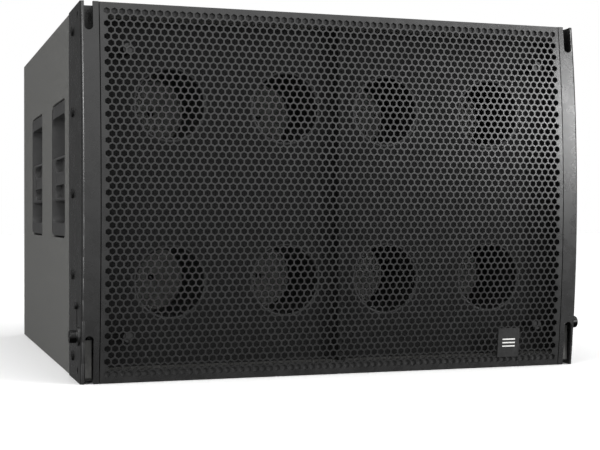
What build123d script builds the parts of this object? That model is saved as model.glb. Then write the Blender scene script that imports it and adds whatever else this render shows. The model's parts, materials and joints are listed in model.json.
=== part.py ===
from build123d import *
import math
import os

# Touring subwoofer cabinet with two 15-inch drivers behind eight round ports.
# Millimetres. +X right, -Y front, +Z up. The origin is the bottom centre of the whole box.

# Overall cabinet
cabinet_width = 724.0            # over the two side rigging plates
cabinet_height = 497.0
cabinet_depth = 735.0            # from the grille's top edge to the rear face
grille_bow = 16.0                # how far the grille and posts bulge forward at mid height
panel_thickness = 18.0           # birch plywood
plate_thickness = 3.0            # steel rigging plate
plate_proud = 1.75               # the plate stands this far out of the wood side
fit_gap = 0.3                    # clearance between separate pieces
overcut = 1.0                    # how far a cut runs past the solid that it opens
seam_gap = 1.2                   # visible line between the grille and a post

# Corner posts and their channels
post_width = 24.0
post_flange = 4.5
post_corner_radius = 4.5
channel_wall = 3.0
channel_depth = 39.0
plate_depth = 106.5
slot_width = 11.5
slot_offset = 1.25               # the slots stand this far outwards of the channel's middle
slot_length = 38.0
bottom_slot_length = 63.0
plate_screw_count = 5
plate_screw_setback = 68.0
plate_screw_edge = 30.5
plate_screw_head = 13.0
plate_screw_shank = 6.0
plate_screw_length = 16.0
plate_screw_head_height = 2.4
plate_screw_key = 2.9            # corner radius of the hexagon socket
plate_screw_key_depth = 1.3
plate_screw_chamfer = 1.0
plate_hole_clearance = 0.5       # around a screw in the steel plate
rig_pin_bore = 9.0
rig_pin_setback = 25.0
rig_pin_edge = 15.0

# Link bars
link_thickness = 8.5
link_travel = 30.0
link_foot = 5.0
link_shoulder = 56.7
link_front = 4.0
link_rear = 35.0
link_arm_front = 18.2
link_lip = 14.0
stud_setback = 31.0
stud_height = 70.0
stud_radius = 2.8
stud_head_radius = 4.6
stud_head_height = 3.0
stud_head_gap = 0.5              # between the head and the plate
stud_head_round = 0.8
stud_thread_radius = 2.2
stud_thread_end = 0.5            # the thread stops this far inside the bar
stud_slot_clearance = 0.4
link_pin_clearance = 0.2
link_foot_radius = 3.0
guide_top = 38.0

# Lock plungers
plunger_setback = 13.5
plunger_height = 61.0
plunger_pin_radius = 4.0
plunger_chamfer = 0.8
plunger_engagement = 4.5
plunger_knob_radius = 8.5
plunger_reach = 13.0
bush_flange_radius = 12.0
bush_flange_thickness = 2.5
bush_barrel_radius = 6.8
bush_wall = 1.3
bush_end_wall = 1.5
bush_inward = 2.5                # how far the bush reaches into the channel
bush_outward = 8.0               # how far it stands out of the plate
collar_thickness = 1.6
collar_gap = 0.1
stem_radius = 2.0
knob_wall = 1.2
knob_round = 1.5
knob_skirt_gap = 1.5
knob_floor_gap = 1.0             # between the bush's end and the knob's floor
stem_seat = 2.5                  # how far the stem goes into the knob
pin_fit = 0.05                   # radial running fit
spring_wire = 0.8
spring_turns = 4

# Front baffle and ports
baffle_setback = 26.0
port_bore = 92.0
port_wall = 4.0
port_mouth_radius = 3.0
port_length = 133.0
port_seat_gap = 0.1              # around a tube in the baffle
port_board_gap = 5.0             # between an inner tube and the driver board beside it
port_outer_shift = -7.6          # outer ports, outwards from the middle of their side chamber
port_rise = 119.0
rib_width = 10.0
rib_setback = 4.0
catch_radius = 7.0
catch_inset = 38.0               # catches, inwards from the posts
catch_rise = 188.5

# Grille
grille_thickness = 1.5
grille_return = 12.0
grille_end_gap = 0.5

# Badge
badge_width = 34.0
badge_height = 42.0
badge_thickness = 1.5
badge_inset = 84.5               # badge's middle, inwards from the right post
badge_rise = 35.5
badge_gap = 0.1

# Driver boards and drivers
board_offset = 148.0             # outer face of each driver board from the middle
driver_setback = 374.5
driver_frame_radius = 194.0
driver_cutout_radius = 177.0
driver_flange = 6.0
surround_width = 16.0
surround_wall = 1.2
surround_gap = 0.2
cone_depth = 70.0
cone_wall = 1.2
coil_radius = 37.5
coil_wall = 0.6
coil_length = 33.0
coil_lap = 1.0                   # how far the cone's neck overlaps the coil's former
cone_setback = 3.5
cone_neck_wall = 0.6
dust_cap_radius = 62.0
dust_cap_rise = 16.0
dust_cap_gap = 0.4
magnet_radius = 60.0
magnet_height = 36.0
magnet_floor = 4.0
magnet_gap = 1.0
magnet_chamfer = 3.0
basket_depth = 86.0
basket_wall = 4.0
basket_coil_gap = 3.0            # between the coil and the rear ring's hole
basket_mouth_radius = 180.0
basket_rear_radius = 88.0
basket_window = 46.0
basket_window_start = 60.0       # radius where the windows begin
basket_window_front = 6.0        # from the flange to a window
basket_window_rear = 14.0        # from a window to the rear face
spider_thickness = 0.8
spider_wave = 2.5
spider_wave_count = 6
spider_radius = 78.0
spider_lip = 2.0                 # the spider's edge, outwards of its radius
spider_flat = 5.0                # from the last wave to the radius
ledge_outward = 3.0              # the ledge that holds the spider's edge
ledge_inward = 4.0
driver_screw_count = 8
driver_screw_circle = 186.0
driver_screw_radius = 2.75
driver_screw_head = 3.5
driver_screw_head_radius = 5.0
gasket_thickness = 1.5

# Handles
handle_width = 148.0
handle_height = 200.0
handle_depth = 50.0
handle_wall = 3.0
handle_land = 18.0
handle_front_setback = 161.0
handle_rear_setback = 440.0
handle_mid_height = 287.0
handle_seam = 3.0
handle_side_gap = 0.4
handle_flange = 10.0
handle_corner = 12.0
grip_height = 66.0               # the bar runs across the pocket, below its middle
grip_drop = 13.0                 # bar's middle, down from the handle's middle
grip_thickness = 21.0
grip_inset = 0.6
grip_slope = 8.0
grip_foot = 14.0
grip_round = 4.0
groove_radius = 9.5
groove_spacing = 38.0
groove_depth = 9.0
groove_front = 12.0              # groove's front end, from the handle's front edge
groove_rear = 114.0
pad_height = 12.0
pad_depth = 0.6
grip_bolt_radius = 3.0
grip_bolt_head = 4.0
grip_bolt_head_radius = 5.0
handle_inset = 0.6
handle_screw_inset = 30.0

# Rear connector plate
plate_panel_width = 170.0
plate_panel_height = 110.0
plate_panel_thickness = 3.0
plate_panel_rise = 120.0
plate_panel_recess = 6.0
plate_panel_corner = 4.0
plate_screw_inset = 9.0
socket_spacing = 62.0
socket_bore = 10.5
socket_body_radius = 13.0
socket_depth = 32.0
socket_floor = 4.0
socket_key_radius = 4.5
socket_key_setback = 5.0         # the key ends this far inside the rim
socket_hole_clearance = 1.0      # around a socket in the wood
socket_plate_clearance = 0.2     # around a socket in the plate
socket_corner = 3.0
socket_flange_width = 28.0
socket_flange_height = 34.0
socket_flange_thickness = 2.5

# Small screws
screw_bite = 12.0                # how far a screw reaches into what it holds
panel_screw_radius = 2.2
panel_screw_head = 2.5
panel_screw_head_radius = 4.5
screw_clearance = 0.1            # around a screw's shank
screw_end_gap = 0.5              # past a screw's tip

# Brace
brace_setback = 610.0
brace_window_margin = 70.0
brace_window_corner = 25.0

# Places worked out from the sizes above
total_depth = cabinet_depth + grille_bow
front_y = -total_depth / 2 + grille_bow
rear_y = total_depth / 2
mid_z = cabinet_height / 2
plate_outer = cabinet_width / 2
plate_inner = plate_outer - plate_thickness
wood_outer = plate_outer - plate_proud
post_inner = plate_outer - post_width
channel_inner = post_inner + channel_wall
channel_rear = front_y + channel_depth
slot_middle = (channel_inner + plate_inner) / 2 + slot_offset
link_inner = slot_middle - link_thickness / 2
link_outer = slot_middle + link_thickness / 2
baffle_front = front_y + baffle_setback
baffle_rear = baffle_front + panel_thickness
inside_top = cabinet_height - panel_thickness
side_inner = wood_outer - panel_thickness
rear_inner = rear_y - panel_thickness
board_inner = board_offset - panel_thickness
port_inner_offset = board_inner - port_board_gap - port_wall - port_bore / 2
port_outer_offset = (board_offset + side_inner) / 2 + port_outer_shift
catch_side = post_inner - catch_inset
badge_side = post_inner - badge_inset
driver_y = front_y + driver_setback
grip_mid_height = handle_mid_height - grip_drop
bush_inner_end = plate_inner - bush_inward
bush_outer_end = plate_outer + bush_outward
collar_start = bush_inner_end + bush_end_wall + collar_gap
knob_floor = bush_outer_end + knob_floor_gap
plate_face = rear_y - plate_panel_recess + plate_panel_thickness


def at(y):
    """Row Y of a distance measured back from the front edge."""
    return front_y + y


def box(x0, x1, y0, y1, z0, z1):
    """Box between two corners."""
    size = (abs(x1 - x0), abs(y1 - y0), abs(z1 - z0))
    return Pos((x0 + x1) / 2, (y0 + y1) / 2, (z0 + z1) / 2) * Box(*size)


def rod_x(x0, x1, y, z, radius):
    """Round bar along X."""
    return Pos((x0 + x1) / 2, y, z) * Rot(0, 90, 0) * Cylinder(radius, abs(x1 - x0))


def rod_y(x, y0, y1, z, radius):
    """Round bar along Y."""
    return Pos(x, (y0 + y1) / 2, z) * Rot(90, 0, 0) * Cylinder(radius, abs(y1 - y0))


def ring_x(x0, x1, y, z, outer, inner):
    """Tube along X."""
    return rod_x(x0, x1, y, z, outer) - rod_x(x0 - overcut, x1 + overcut, y, z, inner)


def turned_x(points, y, z):
    """Solid turned about an X axis; points are (distance out from the middle, radius)."""
    outline = [(radius, along) for along, radius in points]
    with BuildSketch(Plane.XZ) as profile:
        with BuildLine():
            Polyline(*outline, close=True)
        make_face()
    turned = revolve(profile.sketch, Axis.Z)
    return Pos(0, y, z) * Rot(0, 90, 0) * turned


def bowed_block(x0, x1, y_back, inset, z0=0.0, z1=cabinet_height):
    """Block with the cabinet's bulging front, moved back by inset."""
    top = (front_y + inset, cabinet_height)
    middle = (front_y - grille_bow + inset, mid_z)
    bottom = (front_y + inset, 0)
    with BuildSketch(Plane.YZ) as profile:
        with BuildLine():
            ThreePointArc(top, middle, bottom)
            Polyline(bottom, (y_back, 0), (y_back, cabinet_height), top)
        make_face()
    block = Pos(min(x0, x1), 0, 0) * extrude(profile.sketch, abs(x1 - x0))
    return block & box(x0, x1, front_y - 4 * grille_bow, y_back, z0, z1)


def mirrored(side, shape):
    """The shape as made for the right side, or its mirror image on the left."""
    if side > 0:
        return shape
    return mirror(shape, Plane.YZ)


def group(shapes):
    """Separate solids kept together in one node."""
    solids = []
    for shape in shapes:
        solids.extend(shape.solids())
    return Compound(children=solids)


def plate_screw_heights():
    """Heights of the screws down a side plate, evenly spaced."""
    pitch = (cabinet_height - 2 * plate_screw_edge) / (plate_screw_count - 1)
    return [plate_screw_edge + pitch * index for index in range(plate_screw_count)]


# Rigging frames: a side plate, a bowed front strip and two channel walls, welded together

def rigging_frame(side):
    plate = bowed_block(plate_inner, plate_outer, at(plate_depth), 0)
    post = bowed_block(post_inner, plate_outer, channel_rear, 0)
    core = bowed_block(channel_inner, plate_inner, channel_rear - channel_wall, post_flange)
    frame = plate + (post - core)
    corner = frame.edges().filter_by(GeomType.CIRCLE)
    outer_front = [edge for edge in corner if abs(edge.center().X - plate_outer) < 0.01]
    frame = fillet(outer_front, post_corner_radius)
    half = slot_width / 2
    top_round = cabinet_height - slot_length + half
    bottom_round = bottom_slot_length - half
    front = front_y - grille_bow - overcut
    flange_back = at(post_flange + overcut)
    for z0, z1, z_round in (
        (top_round, cabinet_height + overcut, top_round),
        (-overcut, bottom_round, bottom_round),
    ):
        frame -= box(slot_middle - half, slot_middle + half, front, flange_back, z0, z1)
        frame -= rod_y(slot_middle, front, flange_back, z_round, half)
    inside = plate_inner - overcut
    outside = plate_outer + overcut
    for z in plate_screw_heights():
        frame -= rod_x(inside, outside, at(plate_screw_setback), z,
                       plate_screw_shank / 2 + plate_hole_clearance)
    for z in (rig_pin_edge, cabinet_height - rig_pin_edge):
        frame -= rod_x(post_inner - overcut, outside, at(rig_pin_setback), z, rig_pin_bore / 2)
    frame -= rod_x(inside, outside, at(plunger_setback), plunger_height, bush_barrel_radius + pin_fit)
    stud_slot = stud_radius + stud_slot_clearance
    low = stud_height
    high = stud_height + link_travel
    frame -= box(inside, outside, at(stud_setback) - stud_slot, at(stud_setback) + stud_slot, low, high)
    for z in (low, high):
        frame -= rod_x(inside, outside, at(stud_setback), z, stud_slot)
    return group(mirrored(side, piece) for piece in welded_pieces(frame))


def welded_pieces(frame):
    """The frame cut at its welds into side plate, front strip, inner wall and rear wall."""
    front = front_y - grille_bow - overcut
    wall_front = channel_rear - channel_wall
    behind_strip = bowed_block(post_inner, plate_inner, channel_rear, post_flange)
    side_plate = frame & box(plate_inner, plate_outer, front, at(plate_depth), 0, cabinet_height)
    inner = frame & box(post_inner, plate_inner, front, channel_rear, 0, cabinet_height)
    front_strip = inner - behind_strip
    inner_wall = inner & behind_strip & box(post_inner, channel_inner, front, wall_front, 0, cabinet_height)
    rear_wall = inner & box(post_inner, plate_inner, wall_front, channel_rear, 0, cabinet_height)
    return [side_plate, front_strip, inner_wall, rear_wall]


def plate_screws():
    """Socket button-head screws down both side plates."""
    screws = []
    y = at(plate_screw_setback)
    for side in (-1, 1):
        for z in plate_screw_heights():
            face = plate_outer + plate_screw_head_height
            head = rod_x(plate_outer, face, y, z, plate_screw_head / 2)
            head = chamfer(head.edges().filter_by(GeomType.CIRCLE).sort_by(Axis.X)[-1:], plate_screw_chamfer)
            key = extrude(RegularPolygon(plate_screw_key, 6), plate_screw_key_depth, both=True)
            head -= Pos(face, y, z) * Rot(0, 90, 0) * key
            shank = rod_x(plate_outer - plate_screw_length, plate_outer, y, z, plate_screw_shank / 2)
            screws.append(mirrored(side, head + shank))
    return group(screws)


# Link bars with their thumb studs, guide strips and lock plungers

def link_bar(side):
    top = link_shoulder + link_travel + 2 * plunger_pin_radius + 2 * fit_gap + link_lip
    bar = box(link_inner, link_outer, at(link_front), at(link_rear), link_foot, top)
    bar -= box(link_inner - overcut, link_outer + overcut, at(link_front) - overcut, at(link_arm_front),
               link_shoulder, top - link_lip)
    for z in (rig_pin_edge, rig_pin_edge + link_travel):
        bar -= rod_x(link_inner - overcut, link_outer + overcut, at(rig_pin_setback), z,
                     rig_pin_bore / 2 + link_pin_clearance)
    bar -= rod_x(link_inner - overcut, link_outer + overcut, at(stud_setback), stud_height + link_travel,
                 stud_thread_radius)
    ends = bar.edges().filter_by(Axis.X).group_by(Axis.Z)[0]
    bar = fillet(ends, link_foot_radius)
    return mirrored(side, bar)


def thumb_stud(side):
    y = at(stud_setback)
    z = stud_height + link_travel
    head_start = plate_outer + stud_head_gap
    thread = rod_x(link_inner + stud_thread_end, link_outer, y, z, stud_thread_radius)
    shank = rod_x(link_outer, head_start, y, z, stud_radius)
    head = rod_x(head_start, head_start + stud_head_height, y, z, stud_head_radius)
    head = fillet(head.edges().filter_by(GeomType.CIRCLE).sort_by(Axis.X)[-1:], stud_head_round)
    return mirrored(side, thread + shank + head)


def link_guides():
    """Plastic strips on both walls of each channel that keep the bar upright."""
    strips = []
    for side in (-1, 1):
        for x0, x1 in ((channel_inner, link_inner - fit_gap), (link_outer + fit_gap, plate_inner)):
            strip = box(x0, x1, at(link_arm_front), at(link_rear), link_foot, guide_top)
            strip -= rod_x(x0 - overcut, x1 + overcut, at(rig_pin_setback), rig_pin_edge,
                           rig_pin_bore / 2 + fit_gap)
            strips.append(mirrored(side, strip))
    return group(strips)


def plunger_bushes():
    y = at(plunger_setback)
    z = plunger_height
    chamber_start = bush_inner_end + bush_end_wall
    chamber_end = bush_outer_end - bush_end_wall
    bushes = []
    for side in (-1, 1):
        bush = rod_x(bush_inner_end, bush_outer_end, y, z, bush_barrel_radius)
        bush += rod_x(plate_outer, plate_outer + bush_flange_thickness, y, z, bush_flange_radius)
        bush -= rod_x(bush_inner_end - overcut, chamber_start + overcut, y, z, plunger_pin_radius + pin_fit)
        bush -= rod_x(chamber_start, chamber_end, y, z, bush_barrel_radius - bush_wall)
        bush -= rod_x(chamber_end - overcut, bush_outer_end + overcut, y, z, stem_radius + pin_fit)
        bushes.append(mirrored(side, bush))
    return group(bushes)


def lock_pin(side):
    y = at(plunger_setback)
    z = plunger_height
    collar_end = collar_start + collar_thickness
    pin = rod_x(link_outer - plunger_engagement, collar_start, y, z, plunger_pin_radius)
    pin = chamfer(pin.edges().filter_by(GeomType.CIRCLE).sort_by(Axis.X)[:1], plunger_chamfer)
    collar = rod_x(collar_start, collar_end, y, z, bush_barrel_radius - bush_wall - fit_gap)
    stem = rod_x(collar_end, knob_floor + stem_seat, y, z, stem_radius)
    return mirrored(side, pin + collar + stem)


def lock_knob(side):
    y = at(plunger_setback)
    z = plunger_height
    skirt = plate_outer + bush_flange_thickness + knob_skirt_gap
    knob = rod_x(skirt, plate_outer + plunger_reach, y, z, plunger_knob_radius)
    rims = knob.edges().filter_by(GeomType.CIRCLE).sort_by(Axis.X)
    knob = fillet(rims[-1:], knob_round)
    knob -= rod_x(skirt - overcut, knob_floor, y, z, plunger_knob_radius - knob_wall)
    knob -= rod_x(knob_floor - overcut, knob_floor + stem_seat, y, z, stem_radius)
    return mirrored(side, knob)


def plunger_spring(side):
    y = at(plunger_setback)
    z = plunger_height
    low = collar_start + collar_thickness + collar_gap
    high = bush_outer_end - bush_end_wall - collar_gap
    mean_radius = (stem_radius + bush_barrel_radius - bush_wall) / 2
    height = high - low - spring_wire
    path = Helix(height / spring_turns, height, mean_radius)
    start = Plane(origin=path @ 0, z_dir=path % 0)
    wire = sweep(start * Circle(spring_wire / 2), path)
    spring = Pos(low + spring_wire / 2, y, z) * Rot(0, 90, 0) * wire
    return mirrored(side, spring)


# Plywood carcass

def corner_notches(panel):
    """Clear the channels and let the side plates into the edges."""
    front = front_y - overcut
    low = -overcut
    high = cabinet_height + overcut
    for side in (-1, 1):
        outside = side * (plate_outer + overcut)
        panel -= box(side * (post_inner - fit_gap), outside, front, channel_rear + fit_gap, low, high)
        panel -= box(side * plate_inner, outside, front, at(plate_depth) + fit_gap, low, high)
    return panel


def flat_panel(z0, z1):
    front = front_y + grille_thickness + fit_gap
    return corner_notches(box(-wood_outer, wood_outer, front, rear_y, z0, z1))


def handle_places():
    return [("front", handle_front_setback), ("rear", handle_rear_setback)]


def handle_screw_spots(setback):
    """Row Y and Z of the four screws in a handle's inner flange."""
    spots = []
    for end in (-1, 1):
        for y in (setback + handle_screw_inset, setback + handle_width - handle_screw_inset):
            spots.append((at(y), handle_mid_height + end * (handle_height / 2 + handle_flange / 2)))
    return spots


def side_panel(side):
    panel = box(side_inner, wood_outer, channel_rear + fit_gap, rear_inner, panel_thickness, inside_top)
    panel = corner_notches(panel)
    for _, setback in handle_places():
        opening = box(side_inner - overcut, wood_outer + overcut, at(setback), at(setback + handle_width),
                      handle_mid_height - handle_height / 2, handle_mid_height + handle_height / 2)
        opening = fillet(opening.edges().filter_by(Axis.X), handle_corner)
        panel -= opening
        for y, z in handle_screw_spots(setback):
            panel -= rod_x(side_inner - overcut, side_inner + screw_bite + screw_end_gap, y, z,
                           panel_screw_radius + screw_clearance)
    for z in plate_screw_heights():
        panel -= rod_x(plate_outer - plate_screw_length - screw_end_gap, plate_outer, at(plate_screw_setback),
                       z, plate_screw_shank / 2 + screw_clearance)
    return mirrored(side, panel)


def rear_panel():
    panel = box(-wood_outer, wood_outer, rear_inner, rear_y, panel_thickness, inside_top)
    half = plate_panel_width / 2 + fit_gap
    rise = plate_panel_height / 2 + fit_gap
    panel -= box(-half, half, rear_y - plate_panel_recess, rear_y + overcut,
                 plate_panel_rise - rise, plate_panel_rise + rise)
    for x in (-socket_spacing / 2, socket_spacing / 2):
        panel -= rod_y(x, rear_inner - overcut, rear_y, plate_panel_rise,
                       socket_body_radius + socket_hole_clearance)
    for x, z in plate_panel_screw_spots():
        panel -= rod_y(x, rear_y - plate_panel_recess - screw_bite, rear_y, z,
                       panel_screw_radius + screw_clearance)
    return panel


def port_places():
    """Names with X of the upper and lower tube of each pair."""
    return [
        ("port_tubes_outer_left", -port_outer_offset),
        ("port_tubes_inner_left", -port_inner_offset),
        ("port_tubes_inner_right", port_inner_offset),
        ("port_tubes_outer_right", port_outer_offset),
    ]


def front_baffle():
    """Board with a thin tongue at each side that runs behind the channel."""
    baffle = box(-(post_inner - fit_gap), post_inner - fit_gap, baffle_front, baffle_rear,
                 panel_thickness, inside_top)
    baffle += box(-side_inner, side_inner, channel_rear + fit_gap, baffle_rear, panel_thickness, inside_top)
    for _, x in port_places():
        for z in (mid_z - port_rise, mid_z + port_rise):
            baffle -= rod_y(x, baffle_front - overcut, baffle_rear + overcut, z,
                            port_bore / 2 + port_wall + port_seat_gap)
    return baffle


def port_tubes(x):
    tubes = []
    for z in (mid_z - port_rise, mid_z + port_rise):
        outer = rod_y(x, baffle_front, baffle_front + port_length, z, port_bore / 2 + port_wall)
        bore = rod_y(x, baffle_front - overcut, baffle_front + port_length + overcut, z, port_bore / 2)
        tube = outer - bore
        mouth = tube.edges().filter_by(GeomType.CIRCLE).group_by(Axis.Y)[0].sort_by(SortBy.RADIUS)[:1]
        tubes.append(fillet(mouth, port_mouth_radius))
    return group(tubes)


def centre_rib():
    return box(-rib_width / 2, rib_width / 2, at(rib_setback), baffle_front, panel_thickness, inside_top)


def rear_brace():
    brace = box(-board_inner, board_inner, at(brace_setback), at(brace_setback + panel_thickness),
                panel_thickness, inside_top)
    window = box(-board_inner + brace_window_margin, board_inner - brace_window_margin,
                 at(brace_setback) - overcut, at(brace_setback + panel_thickness) + overcut,
                 panel_thickness + brace_window_margin, inside_top - brace_window_margin)
    return brace - fillet(window.edges().filter_by(Axis.Y), brace_window_corner)


# Grille, catches and badge

def grille():
    half = post_inner - seam_gap
    low = grille_end_gap
    high = cabinet_height - grille_end_gap
    shell = bowed_block(-half, half, at(grille_return), 0, low, high)
    hollow = bowed_block(-half + grille_thickness, half - grille_thickness, at(grille_return) + overcut,
                         grille_thickness, low - overcut, high + overcut)
    sheet = shell - hollow
    for z0, z1 in ((low - overcut, panel_thickness + fit_gap), (inside_top - fit_gap, high + overcut)):
        sheet -= bowed_block(-half - overcut, half + overcut, at(grille_return) + overcut, grille_thickness,
                             z0, z1)
    return sheet


def grille_catches():
    catches = []
    for x in (-catch_side, catch_side):
        for z in (mid_z - catch_rise, mid_z + catch_rise):
            catch = rod_y(x, front_y - grille_bow, baffle_front, z, catch_radius)
            catches.append(catch & bowed_block(-plate_outer, plate_outer, baffle_front,
                                               grille_thickness + fit_gap))
    return group(catches)


def badge():
    """Curved plate that lies on the grille."""
    low = badge_rise - badge_height / 2
    high = badge_rise + badge_height / 2
    left = badge_side - badge_width / 2
    right = badge_side + badge_width / 2
    outer = bowed_block(left, right, front_y, -badge_gap - badge_thickness, low, high)
    inner = bowed_block(left - overcut, right + overcut, front_y + overcut, -badge_gap, low - overcut,
                        high + overcut)
    return outer - inner


# Driver boards and the two drivers; side +1 faces its magnet to the right

def driver_screw_spots():
    """Row Y and Z of the screws round a driver's flange."""
    spots = []
    for index in range(driver_screw_count):
        angle = math.radians(360 / driver_screw_count * (index + 0.5))
        spots.append((driver_y + driver_screw_circle * math.cos(angle),
                      mid_z + driver_screw_circle * math.sin(angle)))
    return spots


def driver_board(side):
    board = box(board_inner, board_offset, baffle_rear, rear_inner, panel_thickness, inside_top)
    board -= rod_x(board_inner - overcut, board_offset + overcut, driver_y, mid_z, driver_cutout_radius)
    for y, z in driver_screw_spots():
        board -= rod_x(board_offset - screw_bite - screw_end_gap, board_offset + overcut, y, z,
                       driver_screw_radius + screw_clearance)
    return mirrored(side, board)


def driver_basket(side):
    """Cast frame with a flange, eight windows between its spokes and a rear ring."""
    front = board_offset + gasket_thickness
    back = front + driver_flange
    rear = front + basket_depth
    ledge = rear - basket_wall
    ledge_outer = spider_radius + ledge_outward
    ledge_inner = spider_radius - ledge_inward
    ring_inner = coil_radius + basket_coil_gap
    slope = (basket_mouth_radius - basket_rear_radius) / (rear - back)
    outline = [
        (front, driver_cutout_radius), (front, driver_frame_radius), (back, driver_frame_radius),
        (back, basket_mouth_radius), (rear, basket_rear_radius), (rear, ring_inner),
        (ledge, ring_inner), (ledge, ledge_inner),
        (ledge - basket_wall, ledge_inner), (ledge - basket_wall, ledge_outer),
        (ledge, ledge_outer),
        (ledge, basket_rear_radius + slope * basket_wall - basket_wall * 1.5),
        (back, driver_cutout_radius),
    ]
    basket = turned_x(outline, driver_y, mid_z)
    for index in range(driver_screw_count):
        window = box(back + basket_window_front, rear - basket_window_rear, -basket_window / 2,
                     basket_window / 2, basket_window_start, driver_frame_radius)
        basket -= Pos(0, driver_y, mid_z) * Rot(360 / driver_screw_count * index, 0, 0) * window
    for y, z in driver_screw_spots():
        basket -= rod_x(front - overcut, back + overcut, y, z, driver_screw_radius + screw_clearance)
    return mirrored(side, basket)


def driver_cone(side):
    edge = board_offset + gasket_thickness + cone_setback
    neck = edge + cone_depth
    outer_edge = driver_cutout_radius - surround_width
    outline = [
        (edge, outer_edge), (edge + cone_wall * 2, outer_edge),
        (neck + cone_wall, coil_radius + coil_wall + cone_neck_wall),
        (neck + cone_wall, coil_radius + coil_wall), (neck - coil_lap, coil_radius + coil_wall),
    ]
    return mirrored(side, turned_x(outline, driver_y, mid_z))


def cone_depth_at(radius):
    """How far along X the cone's front surface lies at a radius."""
    edge = board_offset + gasket_thickness + cone_setback
    outer_edge = driver_cutout_radius - surround_width
    share = (outer_edge - radius) / (outer_edge - coil_radius - coil_wall)
    return edge + share * (cone_depth - coil_lap)


def dust_cap(side):
    """Domed shell that sits on the cone."""
    rim = cone_depth_at(dust_cap_radius) - dust_cap_gap
    ball = (dust_cap_radius ** 2 + dust_cap_rise ** 2) / (2 * dust_cap_rise)
    centre = rim - dust_cap_rise + ball
    dome = Pos(centre, driver_y, mid_z) * (Sphere(ball) - Sphere(ball - cone_wall))
    dome &= rod_x(rim - dust_cap_rise - overcut, rim, driver_y, mid_z, dust_cap_radius + overcut)
    return mirrored(side, dome)


def surround(side):
    """Half roll between the cone's edge and the frame."""
    edge = board_offset + gasket_thickness + cone_setback
    middle = driver_cutout_radius - surround_width / 2
    roll = surround_width / 2 - surround_gap
    with BuildSketch(Plane.XZ) as profile:
        with Locations((middle, edge)):
            Circle(roll)
            Circle(roll - surround_wall, mode=Mode.SUBTRACT)
        with Locations((middle, edge + surround_width)):
            Rectangle(4 * surround_width, 2 * surround_width, mode=Mode.SUBTRACT)
    turned = revolve(profile.sketch, Axis.Z)
    return mirrored(side, Pos(0, driver_y, mid_z) * Rot(0, 90, 0) * turned)


def spider(side):
    """Corrugated disc between the coil and the frame's ledge."""
    rear = board_offset + gasket_thickness + basket_depth
    seat = rear - 2 * basket_wall - spider_thickness
    inner = coil_radius + coil_wall + fit_gap
    step = (spider_radius - spider_flat - inner) / spider_wave_count
    front_line = []
    for index in range(spider_wave_count + 1):
        lift = 0 if index % 2 == 0 else spider_wave
        front_line.append((seat - lift, inner + step * index))
    front_line.append((seat, spider_radius + spider_lip))
    back_line = [(along + spider_thickness, radius) for along, radius in reversed(front_line)]
    return mirrored(side, turned_x(front_line + back_line, driver_y, mid_z))


def voice_coil(side):
    start = board_offset + gasket_thickness + cone_setback + cone_depth - coil_lap
    return mirrored(side, ring_x(start, start + coil_length, driver_y, mid_z,
                                 coil_radius + coil_wall, coil_radius))


def magnet(side):
    """Pot magnet with the round gap that the coil moves in."""
    front = board_offset + gasket_thickness + basket_depth
    body = rod_x(front, front + magnet_height, driver_y, mid_z, magnet_radius)
    rear_rim = body.edges().filter_by(GeomType.CIRCLE).sort_by(Axis.X)[-1:]
    body = chamfer(rear_rim, magnet_chamfer)
    body -= ring_x(front - overcut, front + magnet_height - magnet_floor, driver_y, mid_z,
                   coil_radius + coil_wall + magnet_gap, coil_radius - magnet_gap)
    return mirrored(side, body)


def driver_gaskets():
    rings = []
    for side in (-1, 1):
        ring = ring_x(board_offset, board_offset + gasket_thickness, driver_y, mid_z,
                      driver_frame_radius, driver_cutout_radius)
        for y, z in driver_screw_spots():
            ring -= rod_x(board_offset - overcut, board_offset + gasket_thickness + overcut, y, z,
                          driver_screw_radius + screw_clearance)
        rings.append(mirrored(side, ring))
    return group(rings)


def driver_screws():
    screws = []
    seat = board_offset + gasket_thickness + driver_flange
    for side in (-1, 1):
        for y, z in driver_screw_spots():
            head = rod_x(seat, seat + driver_screw_head, y, z, driver_screw_head_radius)
            shank = rod_x(board_offset - screw_bite, seat, y, z, driver_screw_radius)
            screws.append(mirrored(side, head + shank))
    return group(screws)


# Recessed handles

def handle_cup(side, setback):
    """Moulded pocket with a blank land above and below and a flange inside the panel."""
    face = wood_outer - handle_inset
    floor = face - handle_depth
    front = at(setback) + handle_side_gap
    back = at(setback + handle_width) - handle_side_gap
    low = handle_mid_height - handle_height / 2 + handle_seam
    high = handle_mid_height + handle_height / 2 - handle_seam
    land = box(face - handle_wall, face, front, back, low, high)
    pocket_low = low + handle_land
    pocket_high = high - handle_land
    shell = box(floor - handle_wall, face, front, back, pocket_low - handle_wall, pocket_high + handle_wall)
    flange = box(side_inner - handle_wall, side_inner, front - handle_flange, back + handle_flange,
                 low - handle_seam - handle_flange, high + handle_seam + handle_flange)
    pocket = box(floor, face + overcut, front + handle_wall, back - handle_wall, pocket_low, pocket_high)
    pocket = fillet(pocket.edges().filter_by(Axis.X), handle_corner)
    land = fillet(land.edges().filter_by(Axis.X), handle_corner)
    cup = land + shell + flange - pocket
    for y, z in handle_screw_spots(setback):
        cup -= rod_x(side_inner - handle_wall - overcut, side_inner + overcut, y, z,
                     panel_screw_radius + screw_clearance)
    for y, z in grip_bolt_spots(setback):
        cup -= rod_x(floor - handle_wall - overcut, floor + overcut, y, z, grip_bolt_radius + screw_clearance)
    return mirrored(side, cup)


def grip_ends(setback):
    """Row Y of the grip's front and rear end, just inside the pocket."""
    reach = handle_side_gap + handle_wall + fit_gap
    return at(setback) + reach, at(setback + handle_width) - reach


def grip_bolt_spots(setback):
    """Row Y and Z of the two bolts in a grip's feet."""
    front, rear = grip_ends(setback)
    return [(front + grip_foot / 2, grip_mid_height), (rear - grip_foot / 2, grip_mid_height)]


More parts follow.
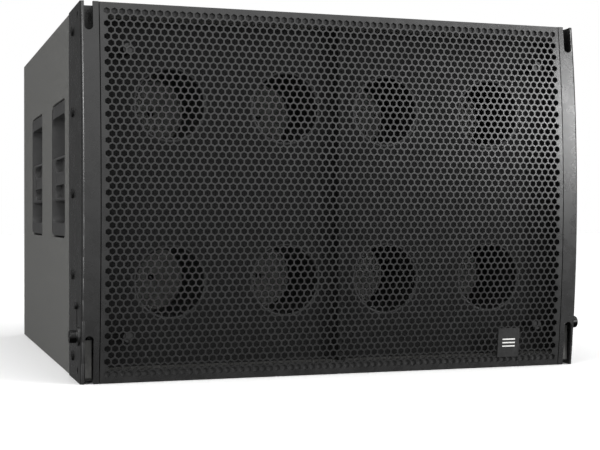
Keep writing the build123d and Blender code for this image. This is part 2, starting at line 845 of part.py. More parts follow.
def handle_grip(side, setback):
    """Bar across the pocket on a foot at each end, with two long grooves and a sunk pad in its face."""
    face = wood_outer - handle_inset - grip_inset
    floor = wood_outer - handle_inset - handle_depth
    under = face - grip_thickness
    front, rear = grip_ends(setback)
    low = grip_mid_height - grip_height / 2
    outline = [
        (floor, front), (face, front), (face, rear), (floor, rear),
        (floor, rear - grip_foot), (under, rear - grip_foot - grip_slope),
        (under, front + grip_foot + grip_slope), (floor, front + grip_foot),
    ]
    with BuildSketch() as profile:
        with BuildLine():
            Polyline(*outline, close=True)
        make_face()
    bar = Pos(0, 0, low) * extrude(profile.sketch, grip_height)
    rims = [edge for edge in bar.edges().filter_by(Axis.Y) if abs(edge.center().X - face) < 0.01]
    bar = fillet(rims, grip_round)
    y0 = at(setback + groove_front) + groove_radius
    y1 = at(setback + groove_rear) - groove_radius
    for z in (grip_mid_height - groove_spacing / 2, grip_mid_height + groove_spacing / 2):
        bar -= box(face - groove_depth, face + overcut, y0, y1, z - groove_radius, z + groove_radius)
        for y in (y0, y1):
            bar -= rod_x(face - groove_depth, face + overcut, y, z, groove_radius)
    bar -= box(face - pad_depth, face + overcut, y0, y1, grip_mid_height - pad_height / 2,
               grip_mid_height + pad_height / 2)
    for y, z in grip_bolt_spots(setback):
        bar -= rod_x(floor - overcut, floor + screw_bite + screw_end_gap, y, z,
                     grip_bolt_radius + screw_clearance)
    return mirrored(side, bar)


def grip_bolts():
    bolts = []
    seat = wood_outer - handle_inset - handle_depth - handle_wall
    for side in (-1, 1):
        for _, setback in handle_places():
            for y, z in grip_bolt_spots(setback):
                head = rod_x(seat - grip_bolt_head, seat, y, z, grip_bolt_head_radius)
                shank = rod_x(seat, seat + handle_wall + screw_bite, y, z, grip_bolt_radius)
                bolts.append(mirrored(side, head + shank))
    return group(bolts)


# Rear connector plate and the small screws

def plate_panel_screw_spots():
    """X and Z of the connector plate's corner screws."""
    half = plate_panel_width / 2 - plate_screw_inset
    rise = plate_panel_height / 2 - plate_screw_inset
    return [(x, plate_panel_rise + z) for x in (-half, half) for z in (-rise, rise)]


def connector_plate():
    back = plate_face - plate_panel_thickness
    plate = box(-plate_panel_width / 2, plate_panel_width / 2, back, plate_face,
                plate_panel_rise - plate_panel_height / 2, plate_panel_rise + plate_panel_height / 2)
    plate = fillet(plate.edges().filter_by(Axis.Y), plate_panel_corner)
    for x in (-socket_spacing / 2, socket_spacing / 2):
        plate -= rod_y(x, back - overcut, plate_face + overcut, plate_panel_rise,
                       socket_body_radius + socket_plate_clearance)
    for x, z in plate_panel_screw_spots():
        plate -= rod_y(x, back - overcut, plate_face + overcut, z,
                       panel_screw_radius + socket_plate_clearance)
    return plate


def connector_sockets():
    """Two four-pole sockets: flange, deep round body and centre key."""
    rim = plate_face + socket_flange_thickness
    floor = rim - socket_depth + socket_floor
    sockets = []
    for x in (-socket_spacing / 2, socket_spacing / 2):
        flange = box(x - socket_flange_width / 2, x + socket_flange_width / 2, plate_face, rim,
                     plate_panel_rise - socket_flange_height / 2, plate_panel_rise + socket_flange_height / 2)
        flange = fillet(flange.edges().filter_by(Axis.Y), socket_corner)
        body = flange + rod_y(x, rim - socket_depth, plate_face, plate_panel_rise, socket_body_radius)
        body -= rod_y(x, floor, rim + overcut, plate_panel_rise, socket_bore)
        key = rod_y(x, floor, rim - socket_key_setback, plate_panel_rise, socket_key_radius)
        sockets.append(body + key)
    return group(sockets)


def panel_screws():
    """Pan-head screws of the handles' flanges and the connector plate."""
    screws = []
    for side in (-1, 1):
        for _, setback in handle_places():
            for y, z in handle_screw_spots(setback):
                seat = side_inner - handle_wall
                head = rod_x(seat - panel_screw_head, seat, y, z, panel_screw_head_radius)
                shank = rod_x(seat, side_inner + screw_bite, y, z, panel_screw_radius)
                screws.append(mirrored(side, head + shank))
    tip = rear_y - plate_panel_recess - screw_bite + screw_end_gap
    for x, z in plate_panel_screw_spots():
        head = rod_y(x, plate_face, plate_face + panel_screw_head, z, panel_screw_head_radius)
        shank = rod_y(x, tip, plate_face, z, panel_screw_radius)
        screws.append(head + shank)
    return group(screws)


def side_name(side):
    return "right" if side > 0 else "left"


def build_nodes():
    """Every node of the cabinet by name."""
    nodes = {
        "top_panel": flat_panel(inside_top, cabinet_height),
        "bottom_panel": flat_panel(0, panel_thickness),
        "rear_panel": rear_panel(),
        "front_baffle": front_baffle(),
        "rear_brace": rear_brace(),
        "centre_rib": centre_rib(),
        "grille": grille(),
        "grille_catches": grille_catches(),
        "badge": badge(),
        "link_guides": link_guides(),
        "plunger_bushes": plunger_bushes(),
        "grip_bolts": grip_bolts(),
        "driver_gaskets": driver_gaskets(),
        "driver_screws": driver_screws(),
        "connector_plate": connector_plate(),
        "connector_sockets": connector_sockets(),
        "panel_screws": panel_screws(),
        "plate_screws": plate_screws(),
    }
    for name, x in port_places():
        nodes[name] = port_tubes(x)
    sided = {
        "side_panel": side_panel,
        "rigging_frame": rigging_frame,
        "link_bar": link_bar,
        "thumb_stud": thumb_stud,
        "lock_pin": lock_pin,
        "lock_knob": lock_knob,
        "plunger_spring": plunger_spring,
        "driver_board": driver_board,
        "driver_basket": driver_basket,
        "driver_cone": driver_cone,
        "dust_cap": dust_cap,
        "surround": surround,
        "spider": spider,
        "voice_coil": voice_coil,
        "magnet": magnet,
    }
    for side in (-1, 1):
        for name, make in sided.items():
            nodes[f"{name}_{side_name(side)}"] = make(side)
        for place, setback in handle_places():
            nodes[f"handle_cup_{side_name(side)}_{place}"] = handle_cup(side, setback)
            nodes[f"handle_grip_{side_name(side)}_{place}"] = handle_grip(side, setback)
    return nodes


os.makedirs("parts", exist_ok=True)
for node_name, shape in build_nodes().items():
    export_step(shape, f"parts/{node_name}.step")
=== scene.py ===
import bpy
import json
import math
import numpy as np
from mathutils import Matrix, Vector


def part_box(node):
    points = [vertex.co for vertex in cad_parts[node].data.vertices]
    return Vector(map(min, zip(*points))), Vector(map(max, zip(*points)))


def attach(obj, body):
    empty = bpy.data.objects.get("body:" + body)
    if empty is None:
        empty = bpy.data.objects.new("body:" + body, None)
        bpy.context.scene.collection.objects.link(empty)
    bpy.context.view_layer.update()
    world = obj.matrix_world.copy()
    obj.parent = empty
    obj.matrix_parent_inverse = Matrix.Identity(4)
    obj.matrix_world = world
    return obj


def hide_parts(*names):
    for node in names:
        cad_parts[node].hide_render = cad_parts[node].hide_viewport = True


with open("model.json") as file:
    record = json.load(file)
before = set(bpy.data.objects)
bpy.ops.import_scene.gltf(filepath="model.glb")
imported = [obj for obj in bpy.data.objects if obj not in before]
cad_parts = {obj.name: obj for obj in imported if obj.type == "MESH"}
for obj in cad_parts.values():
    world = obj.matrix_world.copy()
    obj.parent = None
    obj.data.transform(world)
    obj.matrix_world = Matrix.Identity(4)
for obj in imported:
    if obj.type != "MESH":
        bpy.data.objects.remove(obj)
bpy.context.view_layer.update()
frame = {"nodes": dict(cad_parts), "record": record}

mm = 0.001
samePlane = 0.1 * mm  # points this close to an end count as lying on it
mixA, mixB, mixOut = 6, 7, 2  # a Mix node's colour sockets, whose names its other sockets share
print("frame loaded:", len(frame["nodes"]), "nodes")


def hexColor(text):  # sRGB hex to linear RGBA, by the sRGB curve
    parts = np.array([int(text[i:i + 2], 16) for i in (1, 3, 5)]) / 255
    linear = np.where(parts <= 0.04045, parts / 12.92, ((parts + 0.055) / 1.055) ** 2.4)
    return (*linear.tolist(), 1.0)


def newMaterial(name):
    material = bpy.data.materials.new(name)
    material.use_nodes = True
    material.node_tree.nodes.clear()
    return material


def addNode(material, kind, settings=None, inputs=None):  # an input: a value or (node, socket)
    node = material.node_tree.nodes.new(kind)
    for key, value in (settings or {}).items():
        setattr(node, key, value)
    for key, value in (inputs or {}).items():
        if isinstance(value, tuple) and len(value) == 2 and hasattr(value[0], "outputs"):
            material.node_tree.links.new(value[0].outputs[value[1]], node.inputs[key])
        else:
            node.inputs[key].default_value = value
    return node


def meshPiece(name, points, faces, material, body="cabinet", smooth=False):
    mesh = bpy.data.meshes.new(name)
    mesh.from_pydata(points, [], faces)
    mesh.validate()
    mesh.update()
    mesh.polygons.foreach_set("use_smooth", np.full(len(mesh.polygons), smooth))
    piece = bpy.data.objects.new(name, mesh)
    bpy.context.scene.collection.objects.link(piece)
    piece.data.materials.append(material)
    if body:
        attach(piece, body)
    return piece


def nodePoints(name):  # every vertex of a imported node, as rows of X, Y, Z
    mesh = frame["nodes"][name].data
    flat = np.empty(len(mesh.vertices) * 3)
    mesh.vertices.foreach_get("co", flat)
    return flat.reshape(-1, 3)


coat = {"mottleRange": (0.35, 0.65), "mottleDetail": 3.0, "mottleRoughness": 0.55,
        "grainDetail": 2.0, "bumpShare": 0.5, "glossSpread": 0.04, "ior": 1.5,
        "edgeFacing": (-0.9, -0.8)}  # the last: Y of a normal that faces the grille


def mottleMask(material, sizeMm):  # soft random patches, 0 to 1
    place = addNode(material, "ShaderNodeTexCoord")
    noise = addNode(material, "ShaderNodeTexNoise", inputs={
        "Vector": (place, "Object"), "Scale": 1 / (sizeMm * mm),
        "Detail": coat["mottleDetail"], "Roughness": coat["mottleRoughness"]})
    low, high = coat["mottleRange"]
    return addNode(material, "ShaderNodeMapRange", inputs={
        "Value": (noise, "Fac"), "From Min": low, "From Max": high})


def coatedMaterial(name, look):  # two mottled tones, grain bump, roughness that wanders
    material = newMaterial(name)
    place = addNode(material, "ShaderNodeTexCoord")
    mottle = mottleMask(material, look["mottleMm"])
    tone = addNode(material, "ShaderNodeMix", {"data_type": "RGBA"}, {
        "Factor": (mottle, "Result"), mixA: hexColor(look["dark"]), mixB: hexColor(look["light"])})
    if "paintedRecessShade" in look:  # painted shade: board edges that face the grille, in the recess behind it, are coloured near black
        axes = addNode(material, "ShaderNodeSeparateXYZ", inputs={"Vector": (place, "Normal")})
        facingFrom, facingTo = coat["edgeFacing"]
        facing = addNode(material, "ShaderNodeMapRange", inputs={
            "Value": (axes, "Y"), "From Min": facingFrom, "From Max": facingTo,
            "To Min": 1.0, "To Max": 0.0})
        tone = addNode(material, "ShaderNodeMix", {"data_type": "RGBA"}, {
            "Factor": (facing, "Result"), mixA: (tone, mixOut), mixB: hexColor(look["paintedRecessShade"])})
    gloss = addNode(material, "ShaderNodeMapRange", inputs={
        "Value": (mottle, "Result"), "To Min": look["roughness"] - coat["glossSpread"],
        "To Max": look["roughness"] + coat["glossSpread"]})
    grainSize = look["grainMm"] * mm
    grain = addNode(material, "ShaderNodeTexNoise", inputs={
        "Vector": (place, "Object"), "Scale": 1 / grainSize,
        "Detail": look.get("grainDetail", coat["grainDetail"])})
    bump = addNode(material, "ShaderNodeBump", inputs={
        "Height": (grain, "Fac"), "Strength": look["bump"],
        "Distance": grainSize * coat["bumpShare"]})
    shader = addNode(material, "ShaderNodeBsdfPrincipled", inputs={
        "Base Color": (tone, mixOut), "Roughness": (gloss, "Result"), "Normal": (bump, "Normal"),
        "Metallic": look.get("metallic", 0.0), "IOR": look.get("ior", coat["ior"])})
    addNode(material, "ShaderNodeOutputMaterial", inputs={"Surface": (shader, "BSDF")})
    return material


finishLooks = {
    "textured_panel_paint": ("sprayedPolyureaTexture", dict(  # pebbled and matt
        dark="#4b4b49", light="#555553", mottleMm=9, roughness=0.62, grainMm=1.6, bump=0.7,
        # painted shade: the near black given to board edges in the recess behind the grille
        grainDetail=3.0, paintedRecessShade="#080808")),
    "black_board_paint": ("rolledBlackAcrylic", dict(  # dead flat, so the baffle stays dark
        dark="#070707", light="#0a0a0a", mottleMm=30, roughness=0.8, grainMm=2.5, bump=0.3,
        ior=1.35)),
    "birch_plywood": ("sandedBirchPly", dict(  # pale tan, dull, softly patchy
        dark="#b08d62", light="#c9a87b", mottleMm=25, roughness=0.6, grainMm=1.2, bump=0.2)),
    "black_port_tube": ("extrudedBlackPvc", dict(  # satin, with a soft streak of light
        dark="#060606", light="#090909", mottleMm=30, roughness=0.5, grainMm=1.0, bump=0.1)),
    "black_plastic": ("mouldedBlackNylon", dict(  # fine spark-eroded texture, dull
        dark="#060606", light="#090909", mottleMm=12, roughness=0.6, grainMm=0.6, bump=0.25)),
    "grille_coat": ("powderCoatedPerforatedSteel", dict(  # satin, with slight orange peel
        dark="#131313", light="#181818", mottleMm=18, roughness=0.28, grainMm=0.9, bump=0.2)),
    "badge_metal": ("blackAnodisedAluminium", dict(  # deep black with a silky sheen
        dark="#141414", light="#191919", mottleMm=6, roughness=0.38, grainMm=0.4, bump=0.15)),
    "rigging_coat": ("powderCoatedSteel", dict(  # satin, broad soft highlights along the folds
        dark="#131313", light="#171717", mottleMm=22, roughness=0.28, grainMm=0.9, bump=0.2)),
    "black_screws": ("blackZincSteel", dict(  # dark, half metallic glints
        dark="#101010", light="#181818", mottleMm=4, roughness=0.35, grainMm=0.4, bump=0.1,
        metallic=0.6)),
    "link_steel": ("phosphatedSteel", dict(  # grey and dull, with fine crystals
        dark="#3c3c3b", light="#4a4a48", mottleMm=7, roughness=0.45, grainMm=0.5, bump=0.2,
        metallic=0.7)),
    "plunger_steel": ("zincPlatedSteel", dict(  # mid grey with clear highlights
        dark="#3a3a3a", light="#484848", mottleMm=5, roughness=0.35, grainMm=0.5, bump=0.1,
        metallic=0.9)),
    "knob_metal": ("turnedDarkNickel", dict(  # dark mirror, slightly blurred
        dark="#1e1e1e", light="#262626", mottleMm=4, roughness=0.25, grainMm=0.4, bump=0.1,
        metallic=1.0)),
    "spring_steel": ("drawnSpringWire", dict(  # bright, thin highlights along the coil
        dark="#8a8a8a", light="#a0a0a0", mottleMm=2, roughness=0.3, grainMm=0.3, bump=0.1,
        metallic=1.0)),
    "handle_plastic": ("glassFilledNylon", dict(  # dark grey, dull, finely grained
        dark="#2c2c2c", light="#353535", mottleMm=14, roughness=0.55, grainMm=0.8, bump=0.35)),
    "driver_frame_coat": ("coatedDieCastAluminium", dict(  # near black, faintly pebbled
        dark="#1a1a1a", light="#222222", mottleMm=12, roughness=0.5, grainMm=0.8, bump=0.3)),
    "cone_paper": ("pressedPaperPulp", dict(  # fibrous and quite without gloss
        dark="#1c1b1a", light="#262422", mottleMm=8, roughness=0.85, grainMm=0.7, bump=0.5)),
    "surround_cloth": ("treatedCottonCloth", dict(  # dark, matt, rough to the light
        dark="#141414", light="#1d1d1d", mottleMm=5, roughness=0.7, grainMm=0.6, bump=0.5)),
    "spider_cloth": ("phenolicCloth", dict(  # amber, stiff and matt
        dark="#8d6a35", light="#a98045", mottleMm=5, roughness=0.75, grainMm=0.6, bump=0.5)),
    "coil_former": ("lacqueredCopperWinding", dict(  # copper under a glossy lacquer
        dark="#8f5a34", light="#a96c41", mottleMm=4, roughness=0.35, grainMm=0.4, bump=0.3,
        metallic=0.8)),
    "magnet_plating": ("blackEpoxyCoat", dict(  # smooth black with a clear sheen
        dark="#141414", light="#1a1a1a", mottleMm=12, roughness=0.3, grainMm=0.8, bump=0.15)),
    "gasket_rubber": ("closedCellFoamRubber", dict(  # porous, soft black
        dark="#141414", light="#1b1b1b", mottleMm=4, roughness=0.8, grainMm=0.7, bump=0.5)),
}
finishes = {slot: coatedMaterial(name, look) for slot, (name, look) in finishLooks.items()}
for part in frame["record"]["subparts"]:
    node = frame["nodes"][part["node"]]
    for materialSlot in node.material_slots:
        materialSlot.material = finishes[part["material_slot"]]


grilleLook = {"pitch": 10.08 * mm, "rowPitch": 8.455 * mm, "rows": 57, "holes": 66,
              "openShare": 0.79, "thickness": 1.5 * mm, "weld": 0.005 * mm, "returnSteps": 40}

grilleLow, grilleHigh = (np.array(corner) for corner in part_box("grille"))
postLow, postHigh = (np.array(corner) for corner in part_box("rigging_frame_left"))
postPoints = nodePoints("rigging_frame_left")
bowMid = (postLow[2] + postHigh[2]) / 2
bowHalf = (postHigh[2] - postLow[2]) / 2
bowDepth = postPoints[postPoints[:, 2] > postHigh[2] - samePlane, 1].min() - postLow[1]
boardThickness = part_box("top_panel")[1][2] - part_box("top_panel")[0][2]
bowRadius = (bowHalf ** 2 + bowDepth ** 2) / (2 * bowDepth)


def frontAt(z):  # Y of the bowed front at height z: an arc of a circle with sagitta bowDepth
    return postLow[1] + bowRadius - np.sqrt(bowRadius ** 2 - (z - bowMid) ** 2)


def grilleSheet():
    # Each cell is a hexagon round a smaller one, openShare as large, with a web between the two.
    # Cells and margin are laid out flat, welded, bent onto the arc and given their thickness.
    look = grilleLook
    pitch, row, rows = look["pitch"], look["rowPitch"], look["rows"]
    corners = np.array([(0, 2 / 3), (-0.5, 1 / 3), (-0.5, -1 / 3),
                        (0, -2 / 3), (0.5, -1 / 3), (0.5, 1 / 3)]) * (pitch, row)
    centres = []
    for index in range(rows):
        count = look["holes"] - index % 2
        x = (np.arange(count) - (count - 1) / 2) * pitch
        z = bowMid + (index - (rows - 1) / 2) * row
        centres.append(np.stack([x, np.full(count, z)], 1))
    centres = np.concatenate(centres)
    outer = (centres[:, None] + corners).reshape(-1, 2)
    inner = (centres[:, None] + corners * look["openShare"]).reshape(-1, 2)
    cells = len(centres)
    marginPoints, marginQuads = grilleMargin()
    flat = np.concatenate([outer, inner, marginPoints])
    base = np.arange(cells)[:, None] * 6
    ring = np.arange(6)
    after = (ring + 1) % 6
    inward = cells * 6  # from an outer corner's number to the inner one's
    web = np.stack([base + ring, base + after, base + after + inward, base + ring + inward], 2)
    front = np.concatenate([web.reshape(-1, 4), marginQuads + 2 * inward])
    weld = look["weld"]
    flat, key = np.unique(np.round(flat / weld).astype(np.int64), axis=0, return_inverse=True)
    flat = flat * weld
    front = key.reshape(-1)[front]
    total = len(flat)
    y = frontAt(flat[:, 1])
    points = np.concatenate([
        np.stack([flat[:, 0], y, flat[:, 1]], 1),
        np.stack([flat[:, 0], y + look["thickness"], flat[:, 1]], 1)])
    edges = np.concatenate([front[:, [i, (i + 1) % 4]] for i in range(4)])
    edges = edges[edges[:, 0] != edges[:, 1]]
    there = edges[:, 0] * total + edges[:, 1]
    back = edges[:, 1] * total + edges[:, 0]
    rim = edges[~np.isin(there, back)]  # edges that only one face uses get a wall
    walls = np.stack([rim[:, 1], rim[:, 0], rim[:, 0] + total, rim[:, 1] + total], 1)
    faces = np.concatenate([front, front[:, ::-1] + total, walls])
    return points, faces


def grilleMargin():  # quads from the cells' zigzag edge out to the sheet's straight edge
    look = grilleLook
    pitch, row = look["pitch"], look["rowPitch"]
    halfWidth = (grilleHigh[0] - grilleLow[0]) / 2
    points, quads = [], []

    def quad(a, b, c, d):
        quads.append([len(points) + i for i in range(4)])
        points.extend([a, b, c, d])

    halfField = look["holes"] / 2 * pitch
    fieldTop = bowMid + (look["rows"] - 1) / 2 * row
    for end in (-1, 1):
        edge = grilleHigh[2] if end > 0 else grilleLow[2]
        base = bowMid + end * (fieldTop - bowMid)
        line = [(-halfField, base + end * row / 3)]
        for index in range(look["holes"]):
            x = -halfField + pitch * index
            line.append((x + pitch / 2, base + end * row * 2 / 3))
            line.append((x + pitch, base + end * row / 3))
        for a, b in zip(line, line[1:]):
            strip = [a, b, (b[0], edge), (a[0], edge)]
            quad(*(strip if end > 0 else strip[::-1]))
    for side in (-1, 1):
        line = []
        for index in range(look["rows"]):
            z = bowMid + (index - (look["rows"] - 1) / 2) * row
            x = side * (halfField - (index % 2) * pitch / 2)
            line += [(x, z - row / 3), (x, z + row / 3)]
        line = [(line[0][0], grilleLow[2])] + line + [(line[-1][0], grilleHigh[2])]
        for a, b in zip(line, line[1:]):
            strip = [a, b, (side * halfWidth, b[1]), (side * halfWidth, a[1])]
            quad(*(strip if side < 0 else strip[::-1]))
    return np.array(points), np.array(quads)


def grilleReturn(side):  # a strip folded back along the post, from the arc to one flat depth
    halfWidth = (grilleHigh[0] - grilleLow[0]) / 2
    z = np.linspace(grilleLow[2] + boardThickness, grilleHigh[2] - boardThickness,
                    grilleLook["returnSteps"] + 1)
    front = frontAt(z) + grilleLook["thickness"]
    back = np.full_like(z, grilleHigh[1])
    outer = side * halfWidth
    inner = side * (halfWidth - grilleLook["thickness"])
    loop = [(outer, front), (inner, front), (inner, back), (outer, back)]
    points = np.concatenate([np.stack([np.full_like(z, x), y, z], 1) for x, y in loop])
    count = len(z)
    k = np.arange(count - 1)
    faces = [np.stack([k + count * a, k + count * b, k + 1 + count * b, k + 1 + count * a], 1)
             for a, b in ((0, 1), (1, 2), (2, 3), (3, 0))]
    foot = np.array([[0, count * 3, count * 2, count]])
    head = np.array([[count - 1, count * 2 - 1, count * 3 - 1, count * 4 - 1]])
    faces = np.concatenate(faces + [foot, head])
    if side < 0:
        faces = faces[:, ::-1]
    return points, faces


sheetPoints, sheetFaces = grilleSheet()
grilleCoat = finishes["grille_coat"]
grille = meshPiece("grille_sheet", sheetPoints.tolist(), sheetFaces.tolist(), grilleCoat)
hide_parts("grille")
for side, sideName in ((-1, "left"), (1, "right")):
    stripPoints, stripFaces = grilleReturn(side)
    strip = meshPiece("grille_return_" + sideName, stripPoints.tolist(), stripFaces.tolist(),
                      grilleCoat)
print("grille:", len(sheetFaces), "faces")


badgeLook = {"bars": 3, "barLength": 20 * mm, "barHeight": 1.8 * mm, "barPitch": 5 * mm,
             "rise": 0.25 * mm, "paint": dict(dark="#a9a9a7", light="#b9b9b7", mottleMm=3,
                                              roughness=0.4, grainMm=0.3, bump=0.05)}


def badgeBars():  # plain pale bars on the plate: each a box whose face follows the bowed front
    look = badgeLook
    low, high = (np.array(corner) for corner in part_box("badge"))
    middle = (low + high) / 2
    plateFront = low[1] - frontAt(high[2])  # the plate's face lies this far from the sheet's
    points, faces = [], []
    box = np.array([(0, 1, 2, 3), (4, 7, 6, 5), (0, 4, 5, 1),
                    (1, 5, 6, 2), (2, 6, 7, 3), (3, 7, 4, 0)])
    for index in range(look["bars"]):
        z = middle[2] + (index - (look["bars"] - 1) / 2) * look["barPitch"]
        x0, x1 = middle[0] - look["barLength"] / 2, middle[0] + look["barLength"] / 2
        z0, z1 = z - look["barHeight"] / 2, z + look["barHeight"] / 2
        corners = np.array([(x0, z0), (x1, z0), (x1, z1), (x0, z1)])
        face = frontAt(corners[:, 1]) + plateFront
        for depth in (-look["rise"], look["rise"]):
            points.append(np.stack([corners[:, 0], face + depth, corners[:, 1]], 1))
        faces.append(box + 8 * index)  # eight corners to a box
    return np.concatenate(points), np.concatenate(faces)


barPaint = coatedMaterial("paleScreenPrint", badgeLook["paint"])  # flat light grey ink
barPoints, barFaces = badgeBars()
bars = meshPiece("badge_bars", barPoints.tolist(), barFaces.tolist(), barPaint)
print("badge bars:", badgeLook["bars"])


gauzeLook = {"rings": 10, "spokes": 48, "setIn": 3 * mm, "crown": 4 * mm,
             "threadMm": 1.4,  # coarser than real gauze, so that it shows
             "thread": "#8b8b89", "gap": "#5c5c5a", "waver": 0.3, "bump": 0.5, "bumpShare": 0.3,
             "roughness": 0.9}
wavePeriod = 0.314  # a Wave Texture's period in metres at Scale 1, two pi over 20


def gauzeMaterial():  # plain-woven polyester: two crossed thread waves, soft, without gloss
    material = newMaterial("wovenPolyesterGauze")
    threadSize = gauzeLook["threadMm"] * mm
    place = addNode(material, "ShaderNodeTexCoord")
    threads = []
    for direction in ("X", "Z"):
        threads.append(addNode(material, "ShaderNodeTexWave", {"bands_direction": direction}, {
            "Vector": (place, "Object"), "Scale": wavePeriod / threadSize,
            "Distortion": gauzeLook["waver"]}))
    weave = addNode(material, "ShaderNodeMath", {"operation": "MAXIMUM"}, {
        0: (threads[0], "Fac"), 1: (threads[1], "Fac")})
    tone = addNode(material, "ShaderNodeMix", {"data_type": "RGBA"}, {
        "Factor": (weave, "Value"), mixA: hexColor(gauzeLook["gap"]),
        mixB: hexColor(gauzeLook["thread"])})
    bump = addNode(material, "ShaderNodeBump", inputs={
        "Height": (weave, "Value"), "Strength": gauzeLook["bump"],
        "Distance": threadSize * gauzeLook["bumpShare"]})
    shader = addNode(material, "ShaderNodeBsdfPrincipled", inputs={
        "Base Color": (tone, mixOut), "Roughness": gauzeLook["roughness"],
        "Normal": (bump, "Normal")})
    addNode(material, "ShaderNodeOutputMaterial", inputs={"Surface": (shader, "BSDF")})
    return material


def portCentres(name):  # each of a node's two tubes: X and Z of its axis, bore radius, deep end
    cloud = nodePoints(name)
    middle = (cloud.min(0) + cloud.max(0)) / 2
    found = []
    for tube in (cloud[cloud[:, 2] < middle[2]], cloud[cloud[:, 2] > middle[2]]):
        centre = (tube.min(0) + tube.max(0)) / 2
        reach = np.hypot(tube[:, 0] - centre[0], tube[:, 2] - centre[2])
        deep = tube[:, 1].max()
        found.append((centre[0], centre[2], reach[tube[:, 1] > deep - samePlane].min(), deep))
    return found


def gauzeDiscs():  # domes: at a share of the radius, crown times (1 - share squared) deep
    look = gauzeLook
    share = np.linspace(0, 1, look["rings"] + 1)[1:]
    turn = np.arange(look["spokes"]) / look["spokes"] * 2 * math.pi
    points, faces, start = [], [], 0
    for name in portNodes:
        for x, z, radius, deep in portCentres(name):
            away = look["crown"] * (1 - share[:, None] ** 2) + 0 * turn  # alike on every spoke
            grid = np.stack([x + radius * share[:, None] * np.cos(turn),
                             deep - look["setIn"] + away,
                             z + radius * share[:, None] * np.sin(turn)], 2).reshape(-1, 3)
            centre = np.array([[x, deep - look["setIn"] + look["crown"], z]])
            points.append(np.concatenate([grid, centre]))
            k = np.arange(look["spokes"])
            after = (k + 1) % look["spokes"]
            last = start + len(grid)
            for ring in range(look["rings"] - 1):
                a, b = start + ring * look["spokes"], start + (ring + 1) * look["spokes"]
                faces += np.stack([a + k, a + after, b + after, b + k], 1).tolist()
            fan = np.stack([np.full_like(k, last), start + after, start + k], 1)
            faces += fan[:, ::-1].tolist()
            start = last + 1
    return np.concatenate(points), faces


portNodes = sorted(name for name in frame["nodes"] if name.startswith("port_tubes"))
gauzePoints, gauzeFaces = gauzeDiscs()
gauze = meshPiece("port_gauze", gauzePoints.tolist(), gauzeFaces, gauzeMaterial(), smooth=True)
print("gauze in", 2 * len(portNodes), "port tubes")


studio = {"floorSize": 30.0, "floorDrop": 0.5 * mm, "floorHex": "#f2f2f2",
          "floorRoughness": 0.3, "backdropHex": "#ffffff", "roomHex": "#ffffff",
          "riseRange": (-0.4, 0.45), "roomFront": (0.12, 1.9),  # a ray's Z, and strength over it
          "depthRange": (-0.6, 0.5), "roomBehind": 0.12,  # a ray's Y, and strength at its far end
          "skyAngle": math.radians(70), "skyStrength": 2.9}
camera = {"eye": (-0.5899, -1.9481, 0.2141), "yaw": math.radians(18.363),
          "pitch": math.radians(-0.275), "lens": 73.32, "sensor": 36}
lights = [
    {"name": "keyRight", "at": (2.45, -2.9, 0.98), "aim": (0.3, -0.35, 0.35),
     "size": 0.9, "watts": 70},
    {"name": "stripLeft", "at": (-2.4, -2.3, 0.9), "aim": (-0.36, -0.3, 0.25),
     "size": 0.7, "watts": 32},
]


def aimed(obj, at, aim):
    obj.location = at
    obj.rotation_euler = (Vector(aim) - Vector(at)).to_track_quat("-Z", "Y").to_euler()


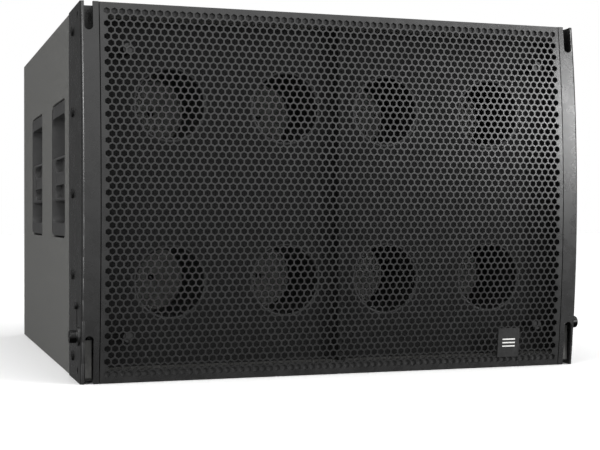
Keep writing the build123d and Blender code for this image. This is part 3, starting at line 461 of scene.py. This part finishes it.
def buildRoom():  # the lens sees a white backdrop, the object a room brighter in front and above
    world = bpy.data.worlds.new("studioWorld")
    world.use_nodes = True
    world.node_tree.nodes.clear()
    path = addNode(world, "ShaderNodeLightPath")
    place = addNode(world, "ShaderNodeTexCoord")
    axes = addNode(world, "ShaderNodeSeparateXYZ", inputs={"Vector": (place, "Generated")})
    riseFrom, riseTo = studio["riseRange"]
    rise = addNode(world, "ShaderNodeMapRange", inputs={
        "Value": (axes, "Z"), "From Min": riseFrom, "From Max": riseTo,
        "To Min": studio["roomFront"][0], "To Max": studio["roomFront"][1]})
    depthFrom, depthTo = studio["depthRange"]
    depth = addNode(world, "ShaderNodeMapRange", {"interpolation_type": "SMOOTHSTEP"}, {
        "Value": (axes, "Y"), "From Min": depthFrom, "From Max": depthTo,
        "To Min": (rise, "Result"), "To Max": studio["roomBehind"]})
    room = addNode(world, "ShaderNodeBackground", inputs={
        "Color": hexColor(studio["roomHex"]), "Strength": (depth, "Result")})
    backdrop = addNode(world, "ShaderNodeBackground", inputs={
        "Color": hexColor(studio["backdropHex"])})
    pick = addNode(world, "ShaderNodeMixShader", inputs={
        0: (path, "Is Camera Ray"), 1: (room, "Background"), 2: (backdrop, "Background")})
    addNode(world, "ShaderNodeOutputWorld", inputs={"Surface": (pick, "Shader")})
    bpy.context.scene.world = world


def buildStudio():
    half = studio["floorSize"] / 2
    drop = -studio["floorDrop"]
    floorMaterial = newMaterial("palePaperSweep")
    shader = addNode(floorMaterial, "ShaderNodeBsdfPrincipled", inputs={
        "Base Color": hexColor(studio["floorHex"]), "Roughness": studio["floorRoughness"]})
    addNode(floorMaterial, "ShaderNodeOutputMaterial", inputs={"Surface": (shader, "BSDF")})
    corners = [(-half, -half, drop), (half, -half, drop), (half, half, drop), (-half, half, drop)]
    floor = meshPiece("floor", corners, [(0, 1, 2, 3)], floorMaterial, body=None)
    floor.visible_glossy = False  # it lights the cabinet but isn't mirrored in the satin steel
    buildRoom()
    for light in lights:
        lamp = bpy.data.lights.new(light["name"], "AREA")
        lamp.shape = "DISK"
        lamp.size = light["size"]
        lamp.energy = light["watts"]
        lampObject = bpy.data.objects.new(light["name"], lamp)
        aimed(lampObject, light["at"], light["aim"])
        bpy.context.scene.collection.objects.link(lampObject)
    sky = bpy.data.lights.new("skyPanel", "SUN")  # wide, overhead: bright floor, soft shadow
    sky.angle = studio["skyAngle"]
    sky.energy = studio["skyStrength"]
    bpy.context.scene.collection.objects.link(bpy.data.objects.new("skyPanel", sky))
    lens = bpy.data.cameras.new("camera")
    lens.lens = camera["lens"]
    lens.sensor_width = camera["sensor"]
    eye = Vector(camera["eye"])
    look = Vector((math.sin(camera["yaw"]), math.cos(camera["yaw"]), math.tan(camera["pitch"])))
    lensObject = bpy.data.objects.new("camera", lens)
    aimed(lensObject, eye, eye + look)
    bpy.context.scene.collection.objects.link(lensObject)
    bpy.context.scene.camera = lensObject
    bpy.context.scene.view_settings.view_transform = "Standard"


buildStudio()
print("studio ready")
